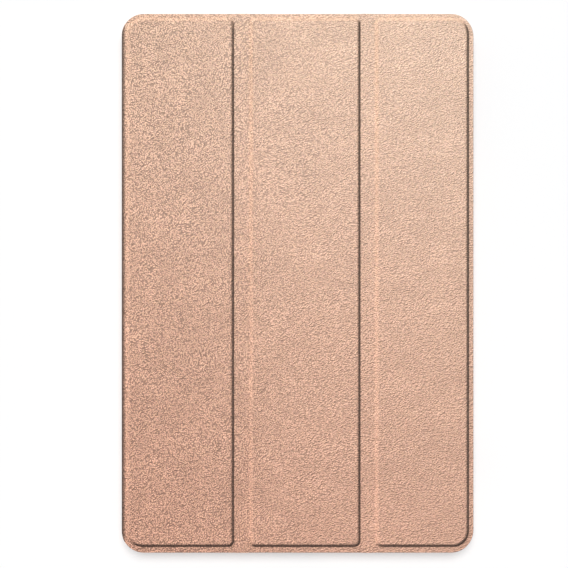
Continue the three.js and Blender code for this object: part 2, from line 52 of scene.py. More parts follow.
HALF_W, HALF_L, CORNER = 82.18, 125.8, 10.5
LINING_Z = (9.85, 10.36)
FLANGE_Z = (10.35, 11.15)
TOP_Z = 12.25
BOARD_TOP = 11.45
BACK_LEFT = -79.88
FOLD_TOP = -80.3
CHANNEL_1 = (-29.14, -22.98)
CHANNEL_2 = (29.86, 35.62)
RELIEF_Y = (-122.75, 123.6)
RELIEFS = ((-79.5, -29.84), (-22.06, 29.14), (36.54, 79.78))
FLATS = ((FOLD_TOP, CHANNEL_1[0]), (CHANNEL_1[1], CHANNEL_2[0]), (CHANNEL_2[1], HALF_W))
OUTER_R, INNER_R = 7.2, 2.6
SPINE_R, LEATHER = 1.8, 0.8

TABLET = (-77.5, 79.9, -123.8, 123.8)
TABLET_MIDDLE = 1.2
TABLET_CORNER = 8.5
TABLET_Z, TABLET_TOP = 2.2, 9.2
SHELL = (-79.0, 81.4, -125.3, 125.3)
SHELL_WALL = 1.3
SHELL_CORNER = 10.0
CAMERA = (61.5, 106.5)
POWER_Y, VOLUME_Y, KEY_Z = (93, 107), (62, 86), (4.6, 7.0)
TRAY_Y, TRAY_Z = (-93, -77), (4.9, 6.9)
SPEAKERS = ((-55, 1), (21, 1), (-55, -1), (55, -1))
USB_Z = (3.55, 6.75)
USB_HALF = 4.47

# ---------------------------------------------------------------- meshes


def make(name, verts, faces, materials, picks=None, weld=1e-4, sharp=None):
    """A new object from millimetre points. picks gives each face's material index."""
    mesh = bpy.data.meshes.new(name)
    bm = bmesh.new()
    points = [bm.verts.new(Vector(v) * MM) for v in verts]
    for k, face in enumerate(faces):
        try:
            made = bm.faces.new([points[i] for i in face])
        except ValueError:
            continue
        made.material_index = picks[k] if picks else 0
        made.smooth = True
    bmesh.ops.remove_doubles(bm, verts=bm.verts, dist=weld * MM)
    bmesh.ops.recalc_face_normals(bm, faces=bm.faces)
    bm.to_mesh(mesh)
    bm.free()
    if sharp is not None:
        mesh.set_sharp_from_angle(angle=math.radians(sharp))
    obj = bpy.data.objects.new(name, mesh)
    bpy.context.scene.collection.objects.link(obj)
    for m in materials:
        mesh.materials.append(m)
    return obj


def arcs_of(x0, x1, y0, y1, radii):
    """A rectangle's corner arcs, from foot-left, as (centre x, centre y, radius, from angle, to angle)."""
    r = radii if isinstance(radii, (list, tuple)) else [radii] * 4
    return [
        (x0 + r[0], y0 + r[0], r[0], math.pi, 1.5 * math.pi),
        (x1 - r[1], y0 + r[1], r[1], 1.5 * math.pi, 2 * math.pi),
        (x1 - r[2], y1 - r[2], r[2], 0, 0.5 * math.pi),
        (x0 + r[3], y1 - r[3], r[3], 0.5 * math.pi, math.pi),
    ]


def case_arcs(x0, x1, inset):
    """The closed case's outline, cut off at x0 and x1, and moved inwards only where it isn't cut."""
    r = CORNER - inset
    cx, cy = HALF_W - CORNER, HALF_L - CORNER
    y = HALF_L - inset

    def side(x, sign):
        reach = sign * x - cx
        if reach <= 0:
            return x, y, 0.0, 0.5 * math.pi
        if reach >= r:
            return sign * cx, cy, r, 0.5 * math.pi
        return sign * cx, cy, r, 0.5 * math.pi - math.acos(reach / r)

    lx, ly, lr, sweep_l = side(x0, -1)
    rx, ry, rr, sweep_r = side(x1, 1)
    return [
        (lx, -ly, lr, 1.5 * math.pi - sweep_l, 1.5 * math.pi),
        (rx, -ry, rr, 1.5 * math.pi, 1.5 * math.pi + sweep_r),
        (rx, ry, rr, 0.5 * math.pi - sweep_r, 0.5 * math.pi),
        (lx, ly, lr, 0.5 * math.pi, 0.5 * math.pi + sweep_l),
    ]


def ring(arcs, z, segs):
    """Points round four corner arcs and the sides between them. segs is (along x, along y, per corner)."""
    nx, ny, m = segs
    out = []
    for i, (cx, cy, r, a0, a1) in enumerate(arcs):
        for k in range(m + 1):
            a = a0 + (a1 - a0) * k / m
            out.append((cx + r * math.cos(a), cy + r * math.sin(a), z))
        qx, qy, qr, b0, _ = arcs[(i + 1) % 4]
        n = nx if i % 2 == 0 else ny
        end = (qx + qr * math.cos(b0), qy + qr * math.sin(b0))
        start = out[-1]
        for k in range(1, n):
            t = k / n
            out.append((start[0] + (end[0] - start[0]) * t, start[1] + (end[1] - start[1]) * t, z))
    return out


def bridge(rings, first=0):
    """Quads between neighbouring rings of the same length, as indices that start at first."""
    n = len(rings[0])
    faces = []
    for a in range(len(rings) - 1):
        low, high = first + a * n, first + (a + 1) * n
        faces += [(low + i, low + (i + 1) % n, high + (i + 1) % n, high + i) for i in range(n)]
    return faces


def grid(x0, x1, y0, y1, z, nx, ny, first):
    """The points and quads of a flat rectangle of nx by ny cells."""
    across = [x0 + (x1 - x0) * i / nx for i in range(nx + 1)]
    along = [y0 + (y1 - y0) * j / ny for j in range(ny + 1)]
    verts = [(x, y, z) for y in along for x in across]
    faces = []
    for j in range(ny):
        low, high = first + j * (nx + 1), first + (j + 1) * (nx + 1)
        faces += [(low + i, low + i + 1, high + i + 1, high + i) for i in range(nx)]
    return verts, faces


def soft_prism(name, outline, z0, z1, edge, materials, segs=(1, 1, 8), steps=4, turn=None, sharp=35):
    """A closed prism with rounded top and bottom edges. outline(inset) gives its corner arcs."""
    arc = [0.5 * math.pi * k / steps for k in range(steps + 1)]
    profile = [(edge + 0.25, z0)] + [(edge * (1 - math.sin(a)), z0 + edge * (1 - math.cos(a))) for a in arc]
    profile += [(edge * (1 - math.cos(a)), z1 - edge * (1 - math.sin(a))) for a in arc] + [(edge + 0.25, z1)]
    return lathe_round(name, outline, profile, materials, segs, turn, sharp)


def lathe_round(name, outline, profile, materials, segs=(1, 1, 8), turn=None, sharp=35):
    """A closed body from a profile of (inset, z), carried round an outline and capped at both ends."""
    rings = [ring(outline(inset), z, segs) for inset, z in profile]
    verts = [p for r in rings for p in r]
    n = len(rings[0])
    faces = bridge(rings)
    faces.append(tuple(range(n)))
    faces.append(tuple(range(len(verts) - n, len(verts))))
    if turn is not None:
        verts = [tuple(turn @ Vector(v)) for v in verts]
    return make(name, verts, faces, materials, sharp=sharp)


def turned(name, cx, cy, profile, materials, steps=64):
    """A body turned about an upright axis, from a profile of (radius, z)."""
    verts = [
        (cx + r * math.cos(2 * math.pi * k / steps), cy + r * math.sin(2 * math.pi * k / steps), z)
        for r, z in profile
        for k in range(steps)
    ]
    faces = [
        (a * steps + k, a * steps + (k + 1) % steps, (a + 1) * steps + (k + 1) % steps, (a + 1) * steps + k)
        for a in range(len(profile) - 1)
        for k in range(steps)
    ]
    for a, (r, _) in ((0, profile[0]), (len(profile) - 1, profile[-1])):
        if r > 0:
            faces.append(tuple(range(a * steps, (a + 1) * steps)))
    return make(name, verts, faces, materials, sharp=35)


def joined(name, *objects):
    """One object from several that share their materials."""
    bm = bmesh.new()
    for obj in objects:
        bm.from_mesh(obj.data)
    first = objects[0]
    bm.to_mesh(first.data)
    bm.free()
    first.data.set_sharp_from_angle(angle=math.radians(35))
    for obj in objects[1:]:
        bpy.data.objects.remove(obj)
    first.name = first.data.name = name
    return first


# Turns a shape drawn in the first two axes, and pushed along the third, to lie along X or along Y.
ALONG_X = Matrix(((0, 0, 1), (1, 0, 0), (0, 1, 0)))
ALONG_Y = Matrix(((1, 0, 0), (0, 0, 1), (0, 1, 0)))


def box_outline(x0, x1, y0, y1, r):
    return lambda inset: arcs_of(x0 + inset, x1 - inset, y0 + inset, y1 - inset, max(r - inset, 0.02))


def slot_outline(x0, x1, y0, y1, grow=0):
    r = min(x1 - x0, y1 - y0) / 2 + grow
    return box_outline(x0 - grow, x1 + grow, y0 - grow, y1 + grow, r * 0.999)


def cut(obj, cutters):
    """Boolean cuts, applied."""
    for c in cutters:
        mod = obj.modifiers.new("cut", "BOOLEAN")
        mod.operation = "DIFFERENCE"
        mod.solver = "EXACT"
        mod.object = c
    bpy.context.view_layer.update()
    mesh = bpy.data.meshes.new_from_object(obj.evaluated_get(bpy.context.evaluated_depsgraph_get()))
    obj.modifiers.clear()
    old, obj.data = obj.data, mesh
    mesh.name = obj.name
    for c in cutters:
        bpy.data.objects.remove(c)
    bpy.data.meshes.remove(old)
    mesh.polygons.foreach_set("use_smooth", [True] * len(mesh.polygons))
    mesh.set_sharp_from_angle(angle=math.radians(35))
    return obj


def cutter(outline, z0, z1, turn=None, segs=(1, 1, 8)):
    rings = [ring(outline(0), z0, segs), ring(outline(0), z1, segs)]
    verts = [p for r in rings for p in r]
    n = len(rings[0])
    faces = bridge(rings) + [tuple(range(n)), tuple(range(n, 2 * n))]
    if turn is not None:
        verts = [tuple(turn @ Vector(v)) for v in verts]
    return make("cutter", verts, faces, [])


def waves(x, y):
    """A slow, shallow unevenness, in -1 to 1."""
    broad = 0.4 * math.sin(0.061 * x + 0.043 * y + 0.6)
    slanting = 0.35 * math.sin(0.037 * y - 0.083 * x + 2.1)
    return broad + slanting + 0.25 * math.sin(0.11 * x + 0.087 * y + 4.0)


# ---------------------------------------------------------------- materials


class Nodes:
    """Short calls for building one node tree."""

    def __init__(self, name):
        self.material = bpy.data.materials.new(name)
        self.material.use_nodes = True
        self.tree = self.material.node_tree
        self.tree.nodes.clear()
        self.out = self.add("ShaderNodeOutputMaterial")
        self.bsdf = self.add("ShaderNodeBsdfPrincipled")
        self.link(self.bsdf.outputs[0], self.out.inputs["Surface"])
        self.coords = self.add("ShaderNodeTexCoord").outputs["Object"]

    def add(self, kind, **values):
        node = self.tree.nodes.new(kind)
        for key, value in values.items():
            setattr(node, key, value)
        return node

    def link(self, a, b):
        self.tree.links.new(a, b)

    def put(self, socket, value):
        if isinstance(value, bpy.types.NodeSocket):
            self.link(value, socket)
        else:
            socket.default_value = value

    def math(self, operation, a, b=0.0, c=0.0, clamp=False):
        node = self.add("ShaderNodeMath", operation=operation, use_clamp=clamp)
        for socket, value in zip(node.inputs, (a, b, c)):
            self.put(socket, value)
        return node.outputs[0]

    def vector(self, operation, a, b, c=None):
        node = self.add("ShaderNodeVectorMath", operation=operation)
        for socket, value in zip(node.inputs, (a, b, c)):
            if value is not None:
                self.put(socket, value)
        return node.outputs[0]

    def mapping(self, vector, scale=(1, 1, 1), turn=(0, 0, 0), shift=(0, 0, 0)):
        node = self.add("ShaderNodeMapping")
        self.link(vector, node.inputs["Vector"])
        node.inputs["Scale"].default_value = scale
        node.inputs["Rotation"].default_value = turn
        node.inputs["Location"].default_value = shift
        return node.outputs[0]

    def noise(self, vector, scale, detail=2.0, roughness=0.5, distortion=0.0, colour=False):
        node = self.add("ShaderNodeTexNoise")
        self.link(vector, node.inputs["Vector"])
        node.inputs["Scale"].default_value = scale
        node.inputs["Detail"].default_value = detail
        node.inputs["Roughness"].default_value = roughness
        node.inputs["Distortion"].default_value = distortion
        return node.outputs["Color" if colour else "Fac"]

    def voronoi(self, vector, scale, feature="F1", randomness=1.0, smoothness=0.4, output="Distance"):
        node = self.add("ShaderNodeTexVoronoi", feature=feature)
        self.link(vector, node.inputs["Vector"])
        node.inputs["Scale"].default_value = scale
        node.inputs["Randomness"].default_value = randomness
        if feature == "SMOOTH_F1":
            node.inputs["Smoothness"].default_value = smoothness
        return node.outputs[output]

    def ramp(self, fac, low, high, out_low=0.0, out_high=1.0):
        node = self.add("ShaderNodeMapRange", interpolation_type="SMOOTHSTEP")
        self.link(fac, node.inputs["Value"])
        for key, value in zip(("From Min", "From Max", "To Min", "To Max"), (low, high, out_low, out_high)):
            node.inputs[key].default_value = value
        return node.outputs["Result"]

    def mix(self, fac, a, b, blend="MIX"):
        node = self.add("ShaderNodeMix", data_type="RGBA", blend_type=blend)
        self.put(node.inputs["Factor"], fac)
        for socket, value in ((node.inputs[6], a), (node.inputs[7], b)):
            self.put(socket, (*value, 1.0) if isinstance(value, tuple) else value)
        return node.outputs[2]

    def mix_value(self, fac, a, b):
        node = self.add("ShaderNodeMix", data_type="FLOAT")
        self.put(node.inputs["Factor"], fac)
        self.put(node.inputs[2], a)
        self.put(node.inputs[3], b)
        return node.outputs[0]

    def bump(self, height, depth_mm, strength=1.0, below=None):
        node = self.add("ShaderNodeBump")
        self.link(height, node.inputs["Height"])
        node.inputs["Distance"].default_value = depth_mm * MM
        node.inputs["Strength"].default_value = strength
        if below is not None:
            self.link(below, node.inputs["Normal"])
        return node.outputs[0]

    def finish(self, colour, roughness, normal=None, **constants):
        self.put(self.bsdf.inputs["Base Color"], (*colour, 1.0) if isinstance(colour, tuple) else colour)
        self.put(self.bsdf.inputs["Roughness"], roughness)
        if normal is not None:
            self.link(normal, self.bsdf.inputs["Normal"])
        for key, value in constants.items():
            self.bsdf.inputs[key.replace("_", " ")].default_value = value
        return self.material


def burnish(obj, amount):
    """Stores how much painted shade darkens the leather at each vertex, from its place in millimetres."""
    layer = obj.data.attributes.new("burnish", "FLOAT", "POINT")
    layer.data.foreach_set("value", [amount(v.co / MM) for v in obj.data.vertices])
    return obj


def tint(colour, k):
    return tuple(min(1.0, c * k) for c in colour)


def leather_material(name, base, painted_sheen_per_x, painted_sheen_per_y):
    """Fine-grained artificial leather. Its colour drifts with each millimetre across and along by the two
    given steps, a painted sheen.
    """
    n = Nodes(name)
    mm = n.mapping(n.coords, scale=(1000, 1000, 1000))
    flow = n.vector("MULTIPLY_ADD", n.noise(mm, 0.05, 2.0, colour=True), (8, 8, 2), mm)
    split = n.add("ShaderNodeSeparateXYZ")
    n.link(mm, split.inputs[0])
    # Pebbles towards the spine, drawn out into slanting ridges towards the free edge.
    round_flow = n.mapping(flow, scale=(1.0, 0.9, 1.0), turn=(0.2, 0.1, 0.5))
    slant_flow = n.mapping(flow, scale=(0.62, 1.05, 0.8), turn=(0.25, 0.15, 0.62))
    pebbles = n.voronoi(round_flow, 1.7, "SMOOTH_F1", smoothness=0.2)
    ridges = n.voronoi(slant_flow, 1.7, "SMOOTH_F1", smoothness=0.2)
    across = n.math("MULTIPLY_ADD", n.noise(mm, 0.02, 1.0), 110.0, split.outputs["X"])
    cells = n.mix_value(n.ramp(across, 5.0, 75.0, 0.1, 0.8), pebbles, ridges)
    crumbs = n.noise(mm, 1.9, 3.0, 0.7)
    height = n.math("SUBTRACT", n.math("MULTIPLY", crumbs, GRAIN_CRUMBS), cells)
    valley = n.ramp(cells, 0.28, 0.7)
    depth = n.ramp(split.outputs["X"], -70.0, 70.0, 1.45, 0.8)
    # Painted sheen: the colour grows paler along x and y by the given steps.
    drift = n.vector("MULTIPLY_ADD", split.outputs["X"], painted_sheen_per_x, base)
    drift = n.vector("MULTIPLY_ADD", split.outputs["Y"], painted_sheen_per_y, drift)
    shade = n.ramp(n.noise(mm, 0.05, 3.0, 0.55), 0.3, 0.7, 0.97, 1.03)
    shade = n.math("MULTIPLY", shade, n.ramp(crumbs, 0.45, 0.62, 1.0, 1.08))
    shade = n.math("MULTIPLY", shade, n.math("MULTIPLY_ADD", n.math("MULTIPLY", valley, depth), -VALLEY, 1.0))
    shade = n.math("MULTIPLY", shade, n.math("MULTIPLY_ADD", depth, 0.24, 0.76))
    # Painted shade, stored per vertex: it darkens the creases on the panels' right and foot sides and the
    # spine's turned edges.
    painted_shade_fac = n.add("ShaderNodeAttribute", attribute_name="burnish").outputs["Fac"]
    shade = n.math("MULTIPLY", shade, n.math("MULTIPLY_ADD", painted_shade_fac, -0.82, 1.0))
    speckle = n.noise(mm, 0.9, 1.0, colour=True)
    flecks = n.vector("MULTIPLY_ADD", speckle, (0.14, 0.1, 0.16), (0.93, 0.95, 0.92))
    colour = n.vector("MULTIPLY", n.vector("MULTIPLY", drift, flecks), shade)
    rough = n.mix_value(valley, n.ramp(crumbs, 0.3, 0.7, 0.36, 0.46), 0.6)
    return n.finish(
        colour, rough, n.bump(height, GRAIN_DEPTH, 1.0),
        Specular_IOR_Level=0.8, Coat_Weight=0.35, Coat_Roughness=0.3)


def lining_material(name, base):
    n = Nodes(name)
    mm = n.mapping(n.coords, scale=(1000, 1000, 1000))
    nap = n.noise(n.mapping(mm, scale=(1, 0.55, 1)), 0.09, 3.0, 0.6)
    fibres = n.noise(mm, 3.2, 4.0, 0.75)
    strands = n.noise(n.mapping(mm, scale=(2.4, 0.35, 1), turn=(0, 0, 0.3)), 1.6, 3.0, 0.6, 0.4)
    height = n.math("ADD", fibres, n.math("MULTIPLY", strands, 0.6))
    colour = n.mix(n.ramp(nap, 0.35, 0.65), tint(base, 0.84), tint(base, 1.12))
    colour = n.mix(n.ramp(fibres, 0.35, 0.7), colour, tint(base, 1.35), "MIX")
    return n.finish(colour, 0.94, n.bump(height, 0.07, 0.8), Sheen_Weight=0.6, Sheen_Roughness=0.45)


def grained_material(name, base, grain_mm, depth_mm, rough, spread=0.06, **constants):
    """Moulded plastic, blasted metal or board: a fine speckle, slow colour drift and uneven gloss."""
    n = Nodes(name)
    mm = n.mapping(n.coords, scale=(1000, 1000, 1000))
    speckle = n.noise(mm, 1.0 / grain_mm, 3.0, 0.6)
    drift = n.noise(mm, 0.035, 3.0, 0.5)
    colour = n.mix(n.ramp(drift, 0.3, 0.7), tint(base, 1 - spread), tint(base, 1 + spread))
    colour = n.mix(n.ramp(speckle, 0.35, 0.7, 0.0, 0.5), colour, tint(base, 1 - 2 * spread))
    roughness = n.ramp(speckle, 0.3, 0.7, max(0.03, rough - 0.05), min(1.0, rough + 0.06))
    return n.finish(colour, roughness, n.bump(speckle, depth_mm, 0.6), **constants)


def brushed_material(name, base, rough, direction=(1, 0.03, 1)):
    n = Nodes(name)
    mm = n.mapping(n.coords, scale=(1000, 1000, 1000))
    lines = n.noise(n.mapping(mm, scale=direction), 9.0, 3.0, 0.6)
    stain = n.noise(mm, 0.12, 3.0, 0.6)
    colour = n.mix(n.ramp(stain, 0.3, 0.7), tint(base, 0.93), tint(base, 1.04))
    roughness = n.ramp(lines, 0.3, 0.7, rough - 0.08, rough + 0.1)
    return n.finish(colour, roughness, n.bump(lines, 0.01, 0.5), Metallic=1.0)


def board_material(name, base):
    """A circuit board: copper runs under green mask, and gold pads."""
    n = Nodes(name)
    mm = n.mapping(n.coords, scale=(1000, 1000, 1000))
    runs = n.add("ShaderNodeTexBrick", offset=0.4, squash=0.7)
    n.link(n.mapping(mm, scale=(0.9, 0.9, 0.9)), runs.inputs["Vector"])
    runs.inputs["Mortar Size"].default_value = 0.035
    runs.inputs["Color1"].default_value = (*tint(base, 0.8), 1)
    runs.inputs["Color2"].default_value = (*tint(base, 1.15), 1)
    runs.inputs["Mortar"].default_value = (*tint(base, 1.7), 1)
    pads = n.voronoi(mm, 0.55, randomness=0.75)
    pad = n.ramp(pads, 0.13, 0.17, 1.0, 0.0)
    colour = n.mix(pad, runs.outputs["Color"], (0.75, 0.55, 0.22))
    height = n.math("SUBTRACT", pad, runs.outputs["Fac"])
    return n.finish(colour, n.ramp(pad, 0, 1, 0.42, 0.25), n.bump(height, 0.04, 0.6), Coat_Weight=0.3)


def flex_material(name, base):
    n = Nodes(name)
    mm = n.mapping(n.coords, scale=(1000, 1000, 1000))
    split = n.add("ShaderNodeSeparateXYZ")
    n.link(mm, split.inputs[0])
    both = n.math("ADD", split.outputs["X"], n.math("ADD", split.outputs["Y"], split.outputs["Z"]))
    tracks = n.math("PINGPONG", both, 0.45)
    copper = n.ramp(tracks, 0.12, 0.3)
    colour = n.mix(copper, tint(base, 0.7), tint(base, 1.5))
    colour = n.mix(n.ramp(n.noise(mm, 0.3, 3), 0.3, 0.7, 0, 0.4), colour, base)
    return n.finish(colour, n.ramp(copper, 0, 1, 0.5, 0.32), n.bump(copper, 0.02, 0.5), Coat_Weight=0.4)


def pouch_material(name, base):
    n = Nodes(name)
    mm = n.mapping(n.coords, scale=(1000, 1000, 1000))
    creases = n.voronoi(n.mapping(mm, scale=(0.05, 0.03, 0.1)), 1.0, "DISTANCE_TO_EDGE")
    dimples = n.noise(mm, 1.2, 3.0, 0.6)
    colour = n.mix(n.ramp(dimples, 0.3, 0.7), tint(base, 0.8), tint(base, 1.15))
    height = n.math("ADD", n.ramp(creases, 0.0, 0.06), n.math("MULTIPLY", dimples, 0.3))
    return n.finish(colour, n.ramp(dimples, 0.3, 0.7, 0.34, 0.48), n.bump(height, 0.06, 0.7), Metallic=0.6)


def glass_material(name):
    """Front glass over a switched-off display: a black printed border and a slightly paler cell."""
    n = Nodes(name)
    mm = n.mapping(n.coords, scale=(1000, 1000, 1000), shift=(-TABLET_MIDDLE, 0, 0))
    split = n.add("ShaderNodeSeparateXYZ")
    n.link(mm, split.inputs[0])
    along_x = n.math("ABSOLUTE", split.outputs["X"])
    along_y = n.math("ABSOLUTE", split.outputs["Y"])
    inside = n.math("MULTIPLY", n.ramp(along_x, 69.4, 69.6, 1, 0), n.ramp(along_y, 114.9, 115.1, 1, 0))
    cell = n.mix(n.noise(mm, 0.02, 2.0), (0.010, 0.011, 0.014), (0.016, 0.017, 0.021))
    colour = n.mix(inside, (0.0025, 0.0025, 0.003), cell)
    smears = n.noise(n.mapping(mm, scale=(1, 0.4, 1), turn=(0, 0, 0.5)), 0.06, 4.0, 0.6, 1.2)
    return n.finish(colour, n.ramp(smears, 0.4, 0.75, 0.045, 0.1), None, Coat_Weight=1.0, Coat_Roughness=0.02)


def lens_material(name):
    n = Nodes(name)
    mm = n.mapping(n.coords, scale=(1000, 1000, 1000), shift=(-CAMERA[0], -CAMERA[1], 0))
    length = n.add("ShaderNodeVectorMath", operation="LENGTH")
    n.link(n.mapping(mm, scale=(1, 1, 0)), length.inputs[0])
    rings = n.math("PINGPONG", length.outputs["Value"], 0.55)
    colour = n.mix(n.ramp(rings, 0.1, 0.4), (0.004, 0.004, 0.007), (0.02, 0.022, 0.035))
    colour = n.mix(n.ramp(length.outputs["Value"], 0.2, 1.5, 1, 0), colour, (0.03, 0.015, 0.06))
    return n.finish(colour, n.ramp(n.noise(mm, 0.8, 2), 0.3, 0.7, 0.03, 0.07), None, Coat_Weight=1.0)


CREASE_PAINTED_SHADE = 0.9  # how dark the painted shade in the crease round a raised panel is
# The leather's grain: depth of the pebbles in mm, share of the fine crumbs, and how dark the valleys are.
GRAIN_DEPTH, GRAIN_CRUMBS, VALLEY = 0.5, 0.6, 0.42
# The leather's colour in the middle of the cover, and its drift for each millimetre across and along: a
# painted sheen, paler towards the head and the free edge, deeper towards the foot and the spine.
ROSE = (0.582, 0.353, 0.250)
ROSE_PAINTED_SHEEN_PER_X = (0.00010, 0.00020, 0.00017)
ROSE_PAINTED_SHEEN_PER_Y = (0.00006, 0.00028, 0.00021)
LEATHER_MAT = leather_material("rose_leather", ROSE, ROSE_PAINTED_SHEEN_PER_X, ROSE_PAINTED_SHEEN_PER_Y)
LINING_MAT = lining_material("microfibre", (0.235, 0.165, 0.135))
SHELL_MAT = grained_material("shell_plastic", (0.60, 0.36, 0.265), 0.35, 0.03, 0.5)
METAL_MAT = grained_material("blasted_aluminium", (0.30, 0.305, 0.315), 0.12, 0.012, 0.36, Metallic=1.0)
BOARD_MAT = grained_material("fibre_board", (0.17, 0.155, 0.13), 0.9, 0.08, 0.85, 0.14)
BLACK_MAT = grained_material("black_plastic", (0.014, 0.014, 0.016), 0.25, 0.02, 0.55, 0.2)
STEEL_MAT = brushed_material("brushed_steel", (0.52, 0.52, 0.53), 0.3)
PCB_MAT = board_material("circuit_board", (0.012, 0.065, 0.034))
FLEX_MAT = flex_material("flex_film", (0.30, 0.12, 0.02))
POUCH_MAT = pouch_material("battery_pouch", (0.10, 0.105, 0.115))
GLASS_MAT = glass_material("front_glass")
LENS_MAT = lens_material("lens_glass")

# ---------------------------------------------------------------- the cover's leather

PANEL_SEGS = (13, 60, 12)

# The raised field's edge as (inwards from its nominal outline, height above the flat leather).
RELIEF_PROFILE = [
    (-0.42, 0.0), (-0.32, 0.03), (-0.18, 0.11), (-0.02, 0.23), (0.14, 0.36), (0.32, 0.51), (0.5, 0.66),
    (0.68, 0.8), (0.86, 0.92), (1.04, 1.01), (1.22, 1.07), (1.4, 1.095), (1.6, 1.1),
]  # fmt: skip


def relief_arcs(i, inset):
    x0, x1 = RELIEFS[i]
    left, right = (OUTER_R if i == 0 else INNER_R), (OUTER_R if i == 2 else INNER_R)
    corners = [max(r - inset, 0.0) for r in (left, right, right, left)]
    return arcs_of(x0 + inset, x1 - inset, RELIEF_Y[0] + inset, RELIEF_Y[1] - inset, corners)


def flange_rings(i, z_bottom, z_top, edge, inset=0.0, segs=PANEL_SEGS):
    """The flat rim of a panel from its underside, round its edge and onto its top."""
    x0, x1 = FLATS[i]
    rings = []
    for k in range(5):
        a = math.pi * k / 4
        z = (z_bottom + z_top) / 2 - math.cos(a) * (z_top - z_bottom) / 2
        rings.append(ring(case_arcs(x0, x1, inset + edge * (1 - math.sin(a))), z, segs))
    return rings


def crease_painted_shade(i):
    """Painted shade: a darker line in the crease round a raised panel, along its right and foot sides only.

    It is shade held in the leather's colour, and it stays there whatever the light does.
    """
    x0, x1 = RELIEFS[i]
    y0, y1 = RELIEF_Y

    def amount(co):
        rise = (co.z - FLANGE_Z[1]) / (TOP_Z - FLANGE_Z[1])
        r = OUTER_R if i != 1 else INNER_R
        out = Vector((co.x - min(max(co.x, x0 + r), x1 - r), co.y - min(max(co.y, y0 + r), y1 - r)))
        # The painted shade goes only on the sides turned away from the key light.
        side = out.normalized().dot(Vector((0.7, -0.72))) if out.length > 0.01 else -1.0
        side = max(0.0, min(1.0, (side + 0.1) / 0.45))
        return CREASE_PAINTED_SHADE * side * max(0.0, min(1.0, rise / 0.1, (0.95 - rise) / 0.4))

    return amount


def panel_leather(i):
    """A panel's leather: a flat rim and a raised field, hollow underneath where its board lies."""
    under = [(4.0, BOARD_TOP), (1.1, BOARD_TOP), (LEATHER, BOARD_TOP - 0.1), (LEATHER, FLANGE_Z[0])]
    rings = [ring(relief_arcs(i, inset), z, PANEL_SEGS) for inset, z in under]
    rings += flange_rings(i, *FLANGE_Z, 0.14)
    rings.append(ring(case_arcs(*FLATS[i], 0.24), FLANGE_Z[1], PANEL_SEGS))
    for inset, rise in RELIEF_PROFILE:
        rings.append(ring(relief_arcs(i, inset), FLANGE_Z[1] + rise, PANEL_SEGS))
    field = (OUTER_R if i != 1 else INNER_R) + 0.6
    for inset in (2.0, 2.6, 4.5, field):
        if inset <= field:
            rings.append(ring(relief_arcs(i, inset), TOP_Z, PANEL_SEGS))
    verts = [p for r in rings for p in r]
    faces = bridge(rings)
    faces.append(tuple(range(len(rings[0]))))
    x0, x1 = RELIEFS[i]
    points, quads = grid(
        x0 + field, x1 - field, RELIEF_Y[0] + field, RELIEF_Y[1] - field, TOP_Z, *PANEL_SEGS[:2], len(verts))
    verts += points
    faces += quads
    obj = make(f"leather_panel_{i + 1}", verts, faces, [LEATHER_MAT], sharp=65)
    centre = ((x0 + x1) / 2, sum(RELIEF_Y) / 2)
    half = ((x1 - x0) / 2, (RELIEF_Y[1] - RELIEF_Y[0]) / 2)
    for v in obj.data.vertices:
        x, y, z = v.co / MM
        if z > TOP_Z - 0.02:
            edge = min(half[0] - abs(x - centre[0]), half[1] - abs(y - centre[1]))
            fade = min(1.0, max(0.0, (edge - 1.0) / 8.0))
            v.co.z += 0.05 * MM * waves(x, y) * fade * fade * (3 - 2 * fade) * (1.0 if edge > 1 else 0)
    return burnish(obj, crease_painted_shade(i))


def strip(name, section, half_length, thickness, materials, ny=48):
    """A band along Y. section gives (x, z, nx, nz) across its outer face, with the outward normal.

    Its inner face has the last of the materials.
    """
    verts, faces, picks = [], [], []
    n = len(section)
    loop = 2 * n
    for j in range(ny + 1):
        t = -1 + 2 * j / ny
        outer = [(x, t * half_length(x), z) for x, z, _, _ in section]
        inner = [(x - a * thickness, t * half_length(x), z - b * thickness) for x, z, a, b in section]
        verts += outer + inner[::-1]
    for j in range(ny):
        for k in range(loop):
            a, b = j * loop + k, j * loop + (k + 1) % loop
            faces.append((a, b, b + loop, a + loop))
            picks.append(len(materials) - 1 if n <= k < loop - 1 else 0)
    for first in (0, ny * loop):
        for k in range(n - 1):
            faces.append((first + k, first + k + 1, first + loop - 2 - k, first + loop - 1 - k))
            picks.append(0)
    return make(name, verts, faces, materials, picks, sharp=50)


def outline_half_length(x, inset=0.0):
    """Half the case's length at x, inside its rounded corners."""
    r = CORNER - inset
    over = abs(x) - (HALF_W - CORNER)
    if over <= 0:
        return HALF_L - inset
    return HALF_L - CORNER + math.sqrt(max(0.0, r * r - over * over))


def turn_section(flat_x, flat_z, up, radius, steps=14):
    """The leather's quarter turn into the spine: from the flat at flat_x, round, and down to the spine."""
    cx, cz = -HALF_W + SPINE_R, flat_z - up * SPINE_R
    points = [(flat_x, cz + up * radius, 0, up)]
    for k in range(steps + 1):
        a = 0.5 * math.pi * k / steps
        nx, nz = -math.sin(a), up * math.cos(a)
        points.append((cx + radius * nx, cz + radius * nz, nx, nz))
    return points


def flat_section(x0, x1, z, steps=18):
    return [(x0 + (x1 - x0) * k / steps, z, 0, 1) for k in range(steps + 1)]


def placed(piece, body, slot, *nodes):
    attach(piece, body)
    if nodes:
        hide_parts(*nodes)
    return piece


def folding(piece, a, b, start, end, slot, *nodes):
    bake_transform(piece)
    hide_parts(*nodes)
    return piece


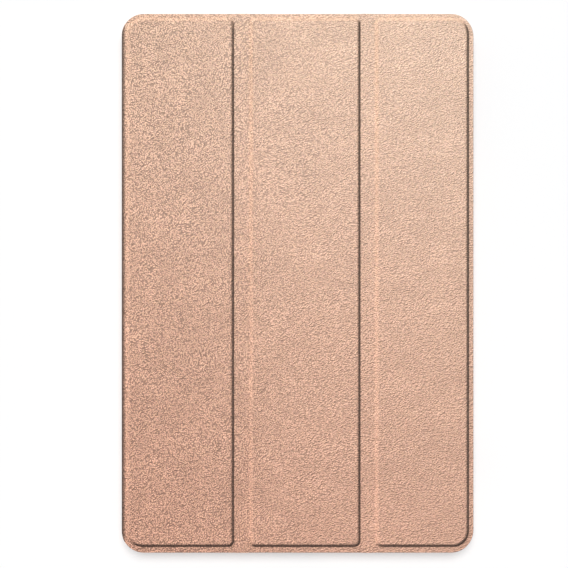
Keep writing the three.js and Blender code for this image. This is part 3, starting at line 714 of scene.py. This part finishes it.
def panel_lining(i):
    segs = (6, 40, 12)
    x0, x1 = FLATS[i]
    rings = [ring(case_arcs(x0, x1, 0.4 + inset), z, segs) for inset, z in (
        (1.2, LINING_Z[0]), (0.16, LINING_Z[0]), (0.04, LINING_Z[0] + 0.05), (0, LINING_Z[0] + 0.16),
        (0, LINING_Z[1]), (1.0, LINING_Z[1]))]  # fmt: skip
    verts = [p for r in rings for p in r]
    n = len(rings[0])
    faces = bridge(rings) + [tuple(range(n)), tuple(range(len(verts) - n, len(verts)))]
    return make(f"lining_panel_{i + 1}", verts, faces, [LINING_MAT], sharp=40)


for i in range(3):
    placed(panel_leather(i), f"panel_{i + 1}", "cover_leather", f"panel_{i + 1}_leather")
    placed(panel_lining(i), f"panel_{i + 1}", "cover_lining", f"panel_{i + 1}_lining")

for i, (x0, x1) in enumerate((CHANNEL_1, CHANNEL_2)):
    band = strip(
        f"leather_fold_{i + 1}", flat_section(x0, x1, FLANGE_Z[1]), lambda x: HALF_L, LEATHER, [LEATHER_MAT])
    under = strip(
        f"lining_fold_{i + 1}", flat_section(x0, x1, LINING_Z[1]), lambda x: HALF_L - 0.4,
        LINING_Z[1] - LINING_Z[0], [LINING_MAT])
    for piece, slot in ((band, "cover_leather"), (under, "cover_lining")):
        folding(
            piece, f"panel_{i + 1}", f"panel_{i + 2}", (x0, 0, 0), (x1, 0, 0), slot, f"fold_{i + 1}_channel")

# The spine, and its turns into the cover and into the back.
SPINE_OUT = -HALF_W
SPINE_Z = (SPINE_R, FLANGE_Z[1] - SPINE_R)
SPINE_HALF = 116.5

def spine_painted_shade(co):
    """Painted shade, darkest where the leather turns furthest, at both edges of the spine."""
    x, z = co.x, co.z
    sides = max(0.0, min(1.0, (-79.7 - x) / 2.0))
    ends = min(1.0, max(0.0, (z - 6.5) / 2.0)) + min(1.0, max(0.0, (3.5 - z) / 2.0))
    return sides * sides * (3 - 2 * sides) * min(1.0, ends)


folding(
    burnish(strip(
        "leather_top_fold", turn_section(FOLD_TOP, FLANGE_Z[1], 1, SPINE_R), outline_half_length, LEATHER,
        [LEATHER_MAT, LINING_MAT]), spine_painted_shade),
    "spine", "panel_1", (SPINE_OUT, 0, 10.2), (FOLD_TOP, 0, 10.2),
    "cover_leather", "spine_top_fold")  # fmt: skip
folding(
    burnish(strip(
        "leather_foot_fold", turn_section(BACK_LEFT, 0, -1, SPINE_R), lambda x: SPINE_HALF, LEATHER,
        [LEATHER_MAT, LINING_MAT]), spine_painted_shade),
    "tablet", "spine", (BACK_LEFT, 0, 0.9), (SPINE_OUT, 0, 0.9),
    "cover_leather", "spine_foot_fold")  # fmt: skip
spine_section = [(SPINE_OUT, SPINE_Z[0] + (SPINE_Z[1] - SPINE_Z[0]) * k / 10, -1, 0) for k in range(11)]
placed(
    burnish(strip(
        "leather_spine", spine_section, lambda x: SPINE_HALF, LEATHER, [LEATHER_MAT]), spine_painted_shade),
    "spine", "cover_leather", "spine_leather")  # fmt: skip
placed(
    soft_prism(
        "lining_spine", box_outline(-115.5, 115.5, 1.95, 9.2, 0.6), -80.38, -79.98, 0.12, [LINING_MAT],
        segs=(40, 4, 6), steps=3, turn=ALONG_X),
    "spine", "cover_lining", "spine_lining")  # fmt: skip

# The back: its leather, and the moulded shell that holds the tablet.
TY = TABLET[2:]
OPENING = 9.5


def camera_cutter(grow, z1):
    return cutter(
        box_outline(
            CAMERA[0] - OPENING - grow, CAMERA[0] + OPENING + grow, CAMERA[1] - OPENING - grow,
            CAMERA[1] + OPENING + grow, 4.5 + grow),
        -1, z1, segs=(1, 1, 10))  # fmt: skip


def back_outline(inset):
    corners = [max(r - inset, 0.05) for r in (6, 8.1, 8.1, 6)]
    return arcs_of(BACK_LEFT + inset, 79.5 - inset, -123.4 + inset, 123.4 - inset, corners)


placed(
    cut(
        soft_prism("leather_back", back_outline, 0, LEATHER, 0.3, [LEATHER_MAT], segs=(12, 18, 12)),
        [camera_cutter(0.5, 3)]),
    "tablet", "cover_leather", "back_leather")  # fmt: skip


def shell_outline(inset):
    return arcs_of(
        SHELL[0] + inset, SHELL[1] - inset, SHELL[2] + inset, SHELL[3] - inset,
        max(SHELL_CORNER - inset, 0.1))


def tablet_outline(inset):
    return arcs_of(
        TABLET[0] + inset, TABLET[1] - inset, TABLET[2] + inset, TABLET[3] - inset,
        max(TABLET_CORNER - inset, 0.1))


def tub_profile(z0, edge, z_top, rim, wall, z_floor, lip=None, steps=6):
    """Round the bottom edge, up the wall, over the rim, down inside and onto the floor. lip is (inset, z)."""
    arc = [0.5 * math.pi * k / steps for k in range(steps + 1)]
    profile = [(edge + 0.4, z0)] + [(edge * (1 - math.sin(a)), z0 + edge * (1 - math.cos(a))) for a in arc]
    profile += [(0, z_top - rim), (0.3 * rim, z_top - 0.3 * rim), (rim, z_top)]
    inner = lip[0] if lip else wall
    profile += [(inner - rim, z_top), (inner - 0.3 * rim, z_top - 0.3 * rim), (inner, z_top - rim)]
    if lip:
        profile += [(inner, lip[1]), (wall, lip[1])]
    profile += [(wall, z_floor + 0.4), (wall + 0.12, z_floor + 0.12)]
    return profile + [(wall + 0.4, z_floor), (wall + 0.8, z_floor)]


def speaker_cutters(half, z0, z1, wall_in):
    ends = {1: (TY[1] - wall_in, SHELL[3] + 1), -1: (SHELL[2] - 1, TY[0] + wall_in)}
    return [
        cutter(slot_outline(x - half, x + half, z0, z1), *ends[end], ALONG_Y) for x, end in SPEAKERS
    ]


LOW_RIM, NOTCH_FLOOR, HIGH = 8.7, 3.7, 20
LIP_REACH, MID_REACH = 24, 14
lows = [
    cutter(box_outline(SHELL[0] + LIP_REACH, SHELL[1] - LIP_REACH, LOW_RIM, HIGH, 0.6), -140, 140, ALONG_Y),
    cutter(box_outline(MID_REACH, SHELL[3] - LIP_REACH, LOW_RIM, HIGH, 0.6), -100, 100, ALONG_X),
    cutter(box_outline(SHELL[2] + LIP_REACH, -MID_REACH, LOW_RIM, HIGH, 0.6), -100, 100, ALONG_X),
]
notches = [
    cutter(box_outline(y0, y1, NOTCH_FLOOR, HIGH, 1.2), 78.4, 84, ALONG_X)
    for y0, y1 in ((VOLUME_Y[0] - 4, POWER_Y[1] + 4), (TRAY_Y[0] - 3, TRAY_Y[1] + 3))
]
plug_notch = box_outline(TABLET_MIDDLE - 8, TABLET_MIDDLE + 8, NOTCH_FLOOR, HIGH, 1.2)
notches.append(cutter(plug_notch, -128, TY[0] + 1, ALONG_Y))
shell = lathe_round(
    "shell", shell_outline, tub_profile(0.9, 1.8, 9.75, 0.15, SHELL_WALL, 2.1, (2.4, 9.3)), [SHELL_MAT],
    segs=(1, 1, 12))
cut(shell, lows + notches + [camera_cutter(0, 4)] + speaker_cutters(10.5, 4.2, 6.8, 1.2))
placed(shell, "tablet", "shell_plastic", "back_shell")

# ---------------------------------------------------------------- the tablet

housing = lathe_round(
    "tablet_body", tablet_outline, tub_profile(TABLET_Z, 1.6, 8.3, 0.1, 1.5, 3.0), [METAL_MAT],
    segs=(1, 1, 12))
KEY_WALL = 77.4
wells = [
    cutter(slot_outline(*y, *z, grow=0.15), KEY_WALL, 81, ALONG_X, segs=(1, 1, 8))
    for y, z in ((POWER_Y, KEY_Z), (VOLUME_Y, KEY_Z), (TRAY_Y, TRAY_Z))
]
usb_x = (TABLET_MIDDLE - USB_HALF, TABLET_MIDDLE + USB_HALF)
wells.append(cutter(slot_outline(*usb_x, *USB_Z, grow=0.1), -126, TY[0] + 2.5, ALONG_Y))
wells.append(cutter(lambda inset: arcs_of(*[c + k * 3.6 for c in CAMERA for k in (-1, 1)], 3.59), 0, 4))
cut(housing, wells + speaker_cutters(8, 4.8, 6.0, 2.5))
placed(housing, "tablet", "housing_metal", "tablet_housing")

placed(
    soft_prism(
        "front_glass", lambda inset: tablet_outline(0.1 + inset), 8.5, TABLET_TOP, 0.3, [GLASS_MAT],
        segs=(1, 1, 12)),
    "tablet", "front_glass", "cover_glass")  # fmt: skip

# Each key is a rounded cap with a flange behind the wall that keeps it in.
KEY_FACE = 80.5
for name, y in (("power_key", POWER_Y), ("volume_key", VOLUME_Y)):
    cap = soft_prism(
        f"{name}_cap", slot_outline(*y, *KEY_Z), 77.8, KEY_FACE, 0.35, [METAL_MAT],
        segs=(8, 1, 10), turn=ALONG_X)
    flange = soft_prism(
        "flange", box_outline(y[0] - 0.8, y[1] + 0.8, KEY_Z[0] - 0.5, KEY_Z[1] - 0.55, 0.4), 77.6, 77.9, 0.08,
        [METAL_MAT], turn=ALONG_X)
    placed(joined(f"{name}_cap", cap, flange), name, "housing_metal", name)

# The card tray: a rounded face with a release hole, and a plate with the card's pocket.
tray_mid = sum(TRAY_Y) / 2
face = soft_prism("face", slot_outline(*TRAY_Y, *TRAY_Z), 78.2, TABLET[1], 0.2, [METAL_MAT], turn=ALONG_X)
cut(face, [cutter(slot_outline(TRAY_Y[1] - 2.5, TRAY_Y[1] - 1.5, 5.4, 6.4), 78.8, 82, ALONG_X)])
plate = soft_prism(
    "plate", box_outline(56, 78.3, tray_mid - 7.1, tray_mid + 7.1, 0.8), 5.4, 6.3, 0.12, [METAL_MAT])
cut(plate, [cutter(box_outline(59.7, 75.3, tray_mid - 5.8, tray_mid + 5.8, 0.8), 5.65, 8)])
placed(joined("card_tray_frame", face, plate), "card_tray", "housing_metal", "card_tray")

# The charging socket's sleeve and tongue.
sleeve = soft_prism(
    "sleeve", slot_outline(*usb_x, *USB_Z), TY[0] + 0.05, TY[0] + 7.4, 0.12, [STEEL_MAT],
    segs=(1, 1, 10), turn=ALONG_Y)
cut(sleeve, [cutter(slot_outline(*usb_x, *USB_Z, grow=-0.3), -126, TY[0] + 6.8, ALONG_Y, segs=(1, 1, 10))])
tongue_outline = box_outline(TABLET_MIDDLE - 3.35, TABLET_MIDDLE + 3.35, 4.8, 5.5, 0.3)
tongue = soft_prism(
    "tongue", tongue_outline, TY[0] + 0.95, TY[0] + 7.1, 0.1, [STEEL_MAT], turn=ALONG_Y)
placed(joined("charging_socket", sleeve, tongue), "tablet", "steel", "usb_receptacle")

# The rear camera's ring and lens.
surround_profile = [
    (4.4, 2.15), (4.4, 1.5), (4.5, 1.4), (4.65, 1.35), (5.9, 1.35),
    (6.25, 1.42), (6.45, 1.6), (6.5, 1.8), (6.5, 2.15), (4.4, 2.15),
]  # fmt: skip
placed(
    turned("camera_surround", *CAMERA, surround_profile, [METAL_MAT]),
    "tablet", "housing_metal", "camera_ring")  # fmt: skip
placed(
    turned(
        "camera_window", *CAMERA, [(0, 1.5), (3.9, 1.5), (4.1, 1.53), (4.2, 1.62), (4.2, 2.15), (0, 2.15)],
        [LENS_MAT]),
    "tablet", "lens_glass", "camera_lens")  # fmt: skip

# ---------------------------------------------------------------- finishes for the carried-over insides

FINISHES = (
    (BOARD_MAT, "panel_1_board panel_2_board panel_3_board spine_board"),
    (STEEL_MAT, "stand_plate closure_magnet wake_magnet backlight_unit cpu_shield radio_shield microphone"
                " card_socket power_switch volume_up_switch volume_down_switch"
                " board_screw_1 board_screw_2 board_screw_3 board_screw_4"),
    (METAL_MAT, "mid_plate"),
    (BLACK_MAT, "display_adhesive hall_sensor speaker_head_1 speaker_head_2 speaker_foot_1 speaker_foot_2"
                " front_camera rear_camera memory_card"),
    (PCB_MAT, "battery_board main_board usb_board"),
    (FLEX_MAT, "board_flex wifi_antenna key_flex"),
    (POUCH_MAT, "battery_cell_left battery_cell_right"),
    (GLASS_MAT, "lcd_cell"),
)  # fmt: skip
for material, names in FINISHES:
    for name in names.split():
        for material_slot in bpy.data.objects[name].material_slots:
            material_slot.material = material

# ---------------------------------------------------------------- camera, light and floor

scene = bpy.context.scene
scene.view_settings.view_transform = "Standard"
scene.view_settings.look = "None"

FLOOR_HALF = 4000
floor = make(
    "floor", [(sx * FLOOR_HALF, sy * FLOOR_HALF, 0) for sx, sy in ((-1, -1), (1, -1), (1, 1), (-1, 1))],
    [(0, 1, 2, 3)], [])
floor_look = Nodes("floor_white")
floor_mm = floor_look.mapping(floor_look.coords, scale=(1, 1, 1))
floor_tone = floor_look.mix(floor_look.noise(floor_mm, 3.0, 2.0), (0.86, 0.86, 0.86), (0.88, 0.88, 0.88))
floor.data.materials.append(floor_look.finish(floor_tone, 0.9))


def area_light(name, azimuth, elevation, distance, size, power, aim=(0, 0, 0.01)):
    """azimuth is the side the light stands on, in degrees from +X towards +Y."""
    data = bpy.data.lights.new(name, "AREA")
    data.shape = "RECTANGLE"
    data.size, data.size_y = size
    data.energy = power
    light = bpy.data.objects.new(name, data)
    a, e = math.radians(azimuth), math.radians(elevation)
    way = Vector((math.cos(a) * math.cos(e), math.sin(a) * math.cos(e), math.sin(e)))
    light.location = Vector(aim) + way * distance
    light.rotation_mode = "QUATERNION"
    light.rotation_quaternion = (-way).to_track_quat("-Z", "Y")
    scene.collection.objects.link(light)
    return light


# These four light the object and not the floor. The two broad ones throw no shadow and show no gloss, and
# they leave the front glass dark.
KEY = area_light("key", 122, 30, 3.2, (2.4, 1.4), 230.0)
EDGE = area_light("edge", 180, 22, 3.2, (1.4, 1.4), 34.0)
for light in (KEY, EDGE):
    light.data.use_shadow = False
    light.visible_glossy = False
SHEEN = area_light("sheen", 80, 74, 0.9, (0.4, 0.4), 2.4)
FILL = area_light("fill", 50, 62, 0.9, (0.4, 0.4), 1.6)
on_floor = bpy.data.collections.new("lit_by_the_floor_suns")
on_floor.objects.link(floor)


def floor_sun(name, zenith, width, strength):
    """Light for the floor only, zenith degrees from upright towards the head side and width degrees wide."""
    data = bpy.data.lights.new(name, "SUN")
    data.energy = strength
    data.angle = math.radians(width)
    sun = bpy.data.objects.new(name, data)
    sun.rotation_euler = (-math.radians(zenith), 0, 0)
    scene.collection.objects.link(sun)
    sun.light_linking.receiver_collection = on_floor


floor_sun("floor_sun_above", 0, 1, 1.14)
floor_sun("floor_sun_head", 17.0, 34, 1.95)


def keep_off(name, light, *objects):
    """Stop a light from reaching some of the objects."""
    skipped = bpy.data.collections.new(name)
    for obj in objects:
        skipped.objects.link(obj)
        skipped.collection_objects[len(skipped.collection_objects) - 1].light_linking.link_state = "EXCLUDE"
    light.light_linking.receiver_collection = skipped


keep_off("not_lit_by_the_key", KEY, floor, bpy.data.objects["front_glass"])
keep_off("not_lit_by_the_edge_light", EDGE, floor, bpy.data.objects["front_glass"])
keep_off("not_lit_by_the_sheen", SHEEN, floor)
keep_off("not_lit_by_the_fill", FILL, floor)
floor.visible_glossy = False

WORLD_DIM = 0.2
world = bpy.data.worlds.new("studio")
scene.world = world
world.use_nodes = True
wt = world.node_tree
wt.nodes.clear()
w_out = wt.nodes.new("ShaderNodeOutputWorld")
w_mix = wt.nodes.new("ShaderNodeMixShader")
w_path = wt.nodes.new("ShaderNodeLightPath")
w_dim = wt.nodes.new("ShaderNodeBackground")
w_white = wt.nodes.new("ShaderNodeBackground")
w_dim.inputs["Color"].default_value = (0.97, 0.98, 1.0, 1)
w_dim.inputs["Strength"].default_value = WORLD_DIM
w_white.inputs["Color"].default_value = (1, 1, 1, 1)
w_white.inputs["Strength"].default_value = 1.0
wt.links.new(w_path.outputs["Is Camera Ray"], w_mix.inputs["Fac"])
wt.links.new(w_dim.outputs[0], w_mix.inputs[1])
wt.links.new(w_white.outputs[0], w_mix.inputs[2])
wt.links.new(w_mix.outputs[0], w_out.inputs["Surface"])

# FRAME_WIDTH is how much the picture spans, in metres, at the height of the flat leather. The object stands
# a little right of the picture's middle.
LENS, SENSOR, FRAME_WIDTH = 100.0, 36.0, 0.26514
camera_data = bpy.data.cameras.new("camera")
camera_data.lens = LENS
camera_data.sensor_width = SENSOR
camera = bpy.data.objects.new("camera", camera_data)
camera.location = (-0.00628, -0.00033, FLANGE_Z[1] * MM + FRAME_WIDTH * LENS / SENSOR)
scene.collection.objects.link(camera)
scene.camera = camera
